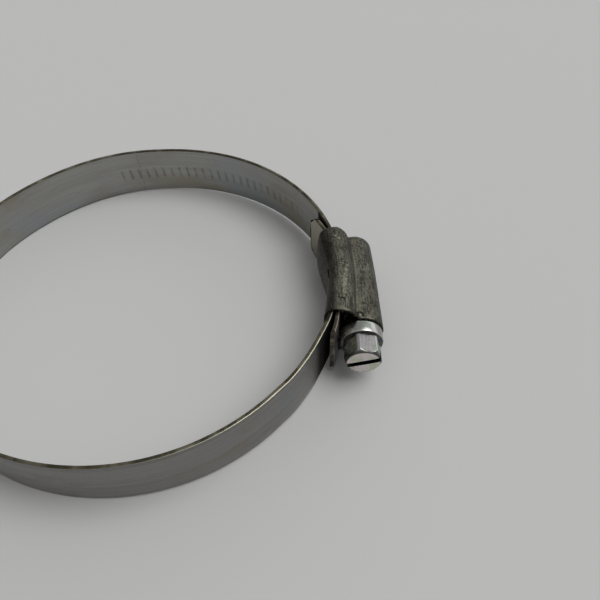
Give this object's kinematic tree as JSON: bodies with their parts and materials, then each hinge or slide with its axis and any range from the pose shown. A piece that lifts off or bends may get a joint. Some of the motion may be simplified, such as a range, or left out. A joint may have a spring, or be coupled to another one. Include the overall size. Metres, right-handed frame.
{
  "type": "worm drive hose clamp",
  "caption": "Worm-drive hose clamp: flexible steel band, pressed housing and a slotted hexagon screw that draws the band's threaded end through and tightens the ring.",
  "frame": {"origin": "centre of the hose seat: on the ring's axis, half way up the band", "axes": "+Z along the ring's axis, +X from the ring's centre to the housing, +Y along the screw from its head to its tip"},
  "size_m": [0.0941, 0.0848, 0.0138],
  "materials": {
    "band_steel": "rolled strip, satin, lightly stained",
    "pressed_steel": "pressed sheet, dark and worn",
    "zinc_steel": "bright zinc plate with a faint blue-green tint"
  },
  "bodies": {
    "housing": {"housing": "pressed_steel", "band_fixed_end": "band_steel"},
    "screw": {"screw": "zinc_steel"},
    "threaded_end": {"band_threaded_end": "band_steel"},
    "ring_1": {"band_link_1": "band_steel"},
    "ring_2": {"band_link_2": "band_steel"},
    "ring_3": {"band_link_3": "band_steel"},
    "ring_4": {"band_link_4": "band_steel"},
    "ring_5": {"band_link_5": "band_steel"},
    "ring_6": {"band_link_6": "band_steel"},
    "ring_7": {"band_link_7": "band_steel"},
    "ring_8": {"band_link_8": "band_steel"}
  },
  "joints": [
    {"name": "screw_turn", "type": "hinge", "parent": "housing", "child": "screw", "pos_m": [0.0472, 0, 0], "axis": [0, 1, 0], "range_deg": [-360, 8280]},
    {"name": "band_feed", "type": "hinge", "parent": "housing", "child": "threaded_end", "pos_m": [0.00175, 0, 0], "axis": [0, 0, -1], "range_deg": [-3, 66.6]},
    {"name": "ring_flex_1", "type": "hinge", "parent": "housing", "child": "ring_1", "pos_m": [0.02996, -0.02944, 0], "axis": [0, 0, -1], "range_deg": [-0.8, 14.6]},
    {"name": "ring_flex_2", "type": "hinge", "parent": "ring_1", "child": "ring_2", "pos_m": [0.01193, -0.04027, 0], "axis": [0, 0, -1], "range_deg": [-0.6, 10.4]},
    {"name": "ring_flex_3", "type": "hinge", "parent": "ring_2", "child": "ring_3", "pos_m": [-0.00909, -0.041, 0], "axis": [0, 0, -1], "range_deg": [-0.4, 6.2]},
    {"name": "ring_flex_4", "type": "hinge", "parent": "ring_3", "child": "ring_4", "pos_m": [-0.02783, -0.03146, 0], "axis": [0, 0, -1], "range_deg": [-0.3, 3.6]},
    {"name": "ring_flex_5", "type": "hinge", "parent": "ring_4", "child": "ring_5", "pos_m": [-0.03959, -0.01402, 0], "axis": [0, 0, -1], "range_deg": [-0.3, 3.4]},
    {"name": "ring_flex_6", "type": "hinge", "parent": "ring_5", "child": "ring_6", "pos_m": [-0.04142, 0.00693, 0], "axis": [0, 0, -1], "range_deg": [-0.4, 5.7]},
    {"name": "ring_flex_7", "type": "hinge", "parent": "ring_6", "child": "ring_7", "pos_m": [-0.03287, 0.02615, 0], "axis": [0, 0, -1], "range_deg": [-0.6, 9.7]},
    {"name": "ring_flex_8", "type": "hinge", "parent": "ring_7", "child": "ring_8", "pos_m": [-0.01607, 0.0388, 0], "axis": [0, 0, -1], "range_deg": [-0.8, 14.1]}
  ],
  "couplings": [
    {"joint": "band_feed", "follows": "screw_turn", "ratio": 0.0080284},
    {"joint": "ring_flex_1", "follows": "screw_turn", "ratio": 0.0017493},
    {"joint": "ring_flex_2", "follows": "screw_turn", "ratio": 0.0012386},
    {"joint": "ring_flex_3", "follows": "screw_turn", "ratio": 0.00073},
    {"joint": "ring_flex_4", "follows": "screw_turn", "ratio": 0.00041964},
    {"joint": "ring_flex_5", "follows": "screw_turn", "ratio": 0.00039578},
    {"joint": "ring_flex_6", "follows": "screw_turn", "ratio": 0.00066427},
    {"joint": "ring_flex_7", "follows": "screw_turn", "ratio": 0.0011516},
    {"joint": "ring_flex_8", "follows": "screw_turn", "ratio": 0.0016793}
  ]
}
